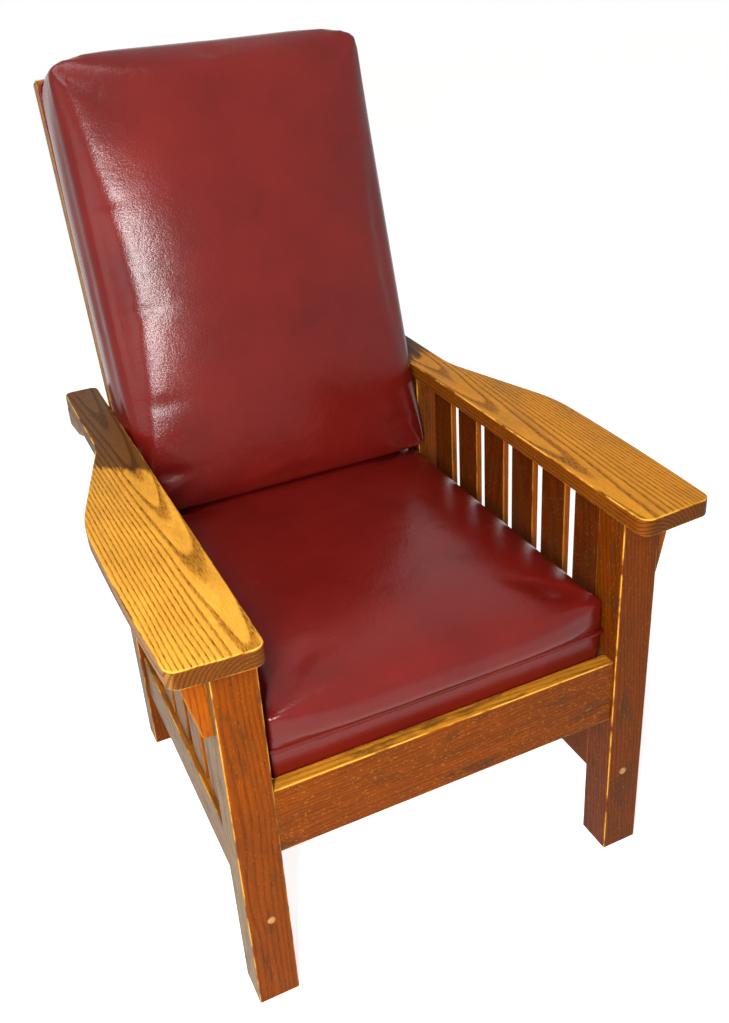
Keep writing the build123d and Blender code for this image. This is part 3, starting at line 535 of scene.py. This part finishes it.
def makeCushionForm(size, around=320):
    # Rings from the middle of the base, up the boxing to the welt, over the swelling side and on to the
    # middle of the crown. Inside the fold the height is wallTop + deep x R(across) x R(along)
    # + crown x (1 - u^p)(1 - v^p), where R = (1 - (1 - distance from the fold / width)^2.4)^rollPower.
    # The roll is deep along the sides and shallow at the corners, where the hide is drawn to a point.
    halfX = size["halfAcross"]
    halfY = (size["high"] - size["low"]) / 2
    middle = (size["high"] + size["low"]) / 2
    rows = [np.zeros((around, 3)) + (0, middle, size["base"])]

    def addRing(inset, out, swell):
        # the box less inset, plus swell x (1 - v^6) across and swell x (1 - u^6) along, so that its
        # sides stand out between the corners; inset and out may differ round the ring
        x, y = roundedBox(around, halfX, halfY)
        u, v = x / halfX, y / halfY
        inset = inset + swell * size["cornerPull"] * np.abs(u * v) ** 6
        x = u * (halfX - inset + swell * size["swellAcross"] * (1 - np.abs(v) ** 6))
        far = np.where(v > 0, size["swellHigh"], size["swellLow"])
        y = v * (halfY - inset - size["drawBase"] * (1 - swell) + swell * far * (1 - np.abs(u) ** 6))
        rows.append(np.column_stack([x, y + middle, out + np.zeros(around)]))

    u, v = (side / half for side, half in zip(roundedBox(around, halfX, halfY), (halfX, halfY)))
    corner = np.abs(u * v) ** 4
    sides, low, high = size["rollDeep"]
    deep = np.where(np.abs(u) > np.abs(v), sides, np.where(v > 0, high, low))
    deep = size["rollCorner"] + (deep - size["rollCorner"]) * (1 - corner)
    drop = size["cornerDrop"] * corner
    wallTop = size["fold"] - drop - deep
    for share in np.linspace(0, 1, 12)[1:-1]:
        addRing(halfX * (1 - share), size["base"], 0.0)
    addRing(0.002, size["base"], 0.0)
    for out in np.linspace(size["base"] + 0.003, size["welt"] - 0.004, 8):
        addRing(0.0, out, 0.0)
    addRing(0.0018, size["welt"], 0.0)
    for share in np.linspace(0, 1, 14)[1:]:
        swell = np.sin(np.pi / 2 * min(1, share / 0.6))
        addRing(0.0, size["welt"] + (wallTop - size["welt"]) * share, swell)

    edge = rows[-1] - (0, middle, 0)
    reach = np.abs(edge).max(0)
    width = size["rollWide"][0], np.where(v > 0, size["rollWide"][2], size["rollWide"][1])
    power = size["crownPower"]
    for share in 1 - np.linspace(0, 0.999, 46)[1:] ** 2:
        x, y = edge[:, 0] * share, edge[:, 1] * share
        full = 1 - np.abs(x) / reach[0], 1 - np.abs(y) / reach[1]
        roll = [(1 - (1 - np.clip(part * side / wide, 0, 1)) ** 2.4) ** size["rollPower"]
                for part, side, wide in zip(full, reach, width)]
        crown = size["crown"] * (1 - (1 - full[0]) ** power) * (1 - (1 - full[1]) ** power)
        out = size["fold"] - drop * share ** 6 - deep * (1 - roll[0] * roll[1]) + crown
        rows.append(np.column_stack([x, y + middle, out]))
    return np.array(rows)


def closedGrid(name, rows):
    # point (ring, step) joins (ring, step + 1) and (ring + 1, step) in quads, with the steps going round,
    # and each end ring is drawn to one point with a fan of triangles
    levels, around = rows.shape[:2]
    verts = np.vstack([rows[0, :1], rows[1:-1].reshape(-1, 3), rows[-1, :1]])
    index = 1 + np.arange((levels - 2) * around).reshape(levels - 2, around)
    after = np.roll(index, -1, 1)
    quads = np.stack([index[:-1], after[:-1], after[1:], index[1:]], -1).reshape(-1, 4).tolist()
    last = len(verts) - 1
    caps = np.stack([np.zeros(around, int), after[0], index[0]], -1).tolist()
    caps += np.stack([np.full(around, last), index[-1], after[-1]], -1).tolist()
    return addPiece(name, verts, quads + caps)


def pointsOf(mesh):
    # the mesh's points as rows of x, y, z
    flat = np.empty(len(mesh.vertices) * 3)
    mesh.vertices.foreach_get("co", flat)
    return flat.reshape(-1, 3)


def stuff(piece, size):
    # cloth under pressure: the base, the welt and the corner seams are held, the panels between swell;
    # each move d is eased to cap x tanh(d / cap), and one subdivision smooths the result
    remesh = piece.modifiers.new("remesh", "REMESH")
    remesh.mode = "VOXEL"
    remesh.voxel_size = size["voxel"]
    remesh.use_smooth_shade = True
    shown = bpy.data.meshes.new_from_object(piece.evaluated_get(bpy.context.evaluated_depsgraph_get()))
    piece.modifiers.clear()
    piece.data = shown
    start = pointsOf(shown)
    halfY = (size["high"] - size["low"]) / 2
    u = np.abs(start[:, 0]) / size["halfAcross"]
    v = np.abs(start[:, 1] - (size["high"] + size["low"]) / 2) / halfY
    below = start[:, 2] < size["welt"] + 0.003
    corner = (u > 0.965) & (v > 0.975)
    held = below | corner
    group = piece.vertex_groups.new(name="held")
    group.add(np.flatnonzero(held).tolist(), 1.0, "REPLACE")
    cloth = piece.modifiers.new("cloth", "CLOTH")
    cloth.settings.vertex_group_mass = "held"
    cloth.settings.use_pressure = True
    cloth.settings.uniform_pressure_force = size["pressure"]
    cloth.settings.quality = 6
    cloth.settings.mass = 0.4
    cloth.settings.tension_stiffness = cloth.settings.compression_stiffness = 15
    cloth.settings.shear_stiffness = 5
    cloth.settings.bending_stiffness = 6.0
    cloth.settings.effector_weights.gravity = 0
    cloth.point_cache.frame_start, cloth.point_cache.frame_end = 1, 20
    for step in range(1, 21):
        scene.frame_set(step)
    swollen = bpy.data.meshes.new_from_object(piece.evaluated_get(bpy.context.evaluated_depsgraph_get()))
    end = pointsOf(swollen)
    bpy.data.meshes.remove(swollen)
    piece.modifiers.clear()
    piece.vertex_groups.clear()
    scene.frame_set(1)
    move = end - start
    length = np.linalg.norm(move, axis=1)
    move *= (size["cap"] * np.tanh(length / size["cap"]) / np.maximum(length, 1e-9))[:, None]
    print(piece.name, "moved mean %.1f, most %.1f mm" % (length.mean() * 1000, length.max() * 1000))
    shown.vertices.foreach_set("co", (start + move).ravel())
    shown.update()
    finer = piece.modifiers.new("finer", "SUBSURF")
    finer.levels = finer.render_levels = 1
    done = bpy.data.meshes.new_from_object(piece.evaluated_get(bpy.context.evaluated_depsgraph_get()))
    piece.modifiers.clear()
    piece.data = done


def sweep(name, path, across, radius, sides=10):
    # a round cord along a closed path: path + radius x (cos a x sideways + sin a x up), where up stands
    # square on the run of the path and on the sideways direction
    run = np.roll(path, -1, 0) - np.roll(path, 1, 0)
    run /= np.linalg.norm(run, axis=1)[:, None]
    up = np.cross(run, across)
    up /= np.linalg.norm(up, axis=1)[:, None]
    angle = np.linspace(0, 2 * np.pi, sides, endpoint=False)[None, :, None]
    rows = path[:, None] + radius * (np.cos(angle) * across[:, None] + np.sin(angle) * up[:, None])
    count = len(path)
    index = np.arange(count * sides).reshape(count, sides)
    ahead, beside = np.roll(index, -1, 0), np.roll(index, -1, 1)
    quads = np.stack([index, beside, np.roll(ahead, -1, 1), ahead], -1).reshape(-1, 4)
    return addPiece(name, rows.reshape(-1, 3), quads.tolist())


pivot = np.array([0, frontY + hinge["behindFront"], hinge["height"]])
upBack = np.array([0, np.sin(lean), np.cos(lean)])
outBack = np.array([0, -np.cos(lean), np.sin(lean)])


def toWorld(points, leaning):
    # on the back: pivot + across x (1, 0, 0) + along x upBack + out x outBack; the seat is only moved to
    # the front of the posts
    if not leaning:
        return points + (0, frontY, 0)
    across, along, out = points[..., :1], points[..., 1:2], points[..., 2:3]
    return pivot + across * np.array([1, 0, 0]) + along * upBack + out * outBack


def makeCushion(name, size, leaning, body, node):
    # the stuffed form less its dimples, each depth x exp(-(x / a)^2 - (y / b)^2), which fade out below the
    # fold, and a welt swept round the superellipse at its height
    fade = 0.03
    piece = closedGrid(name, makeCushionForm(size))
    stuff(piece, size)
    points = pointsOf(piece.data)
    dimples = np.array(size["dimples"])
    away = ((points[:, None, :2] - dimples[:, :2]) / dimples[:, 2:4]) ** 2
    onTop = np.clip((points[:, 2] - size["fold"] + fade) / fade, 0, 1)
    points[:, 2] -= onTop * (np.exp(-away.sum(2)) * dimples[:, 4]).sum(1)
    piece.data.vertices.foreach_set("co", toWorld(points, leaning).ravel())
    piece.data.update()

    halfY = (size["high"] - size["low"]) / 2
    middle = (size["high"] + size["low"]) / 2
    x, y = roundedBox(480, size["halfAcross"] + size["weltOut"], halfY + size["weltOut"])
    path = np.column_stack([x, y + middle, np.full(len(x), size["welt"])])
    run = np.roll(path, -1, 0) - np.roll(path, 1, 0)
    sideways = np.cross(run, (0, 0, 1.0))
    sideways /= np.linalg.norm(sideways, axis=1)[:, None]
    ends = toWorld(np.stack([path, path + sideways]), leaning)
    welt = sweep(name + "Welt", ends[0], ends[1] - ends[0], size["weltRadius"])
    for made in (piece, welt):
        giveMaterial(made, hide)
        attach(made, body)
    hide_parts(node)


makeCushion("seatCushion", seatCushion, False, "chair_frame", "seat_cushion")
makeCushion("backCushion", backCushion, True, "back", "back_cushion")
print("cushions made")
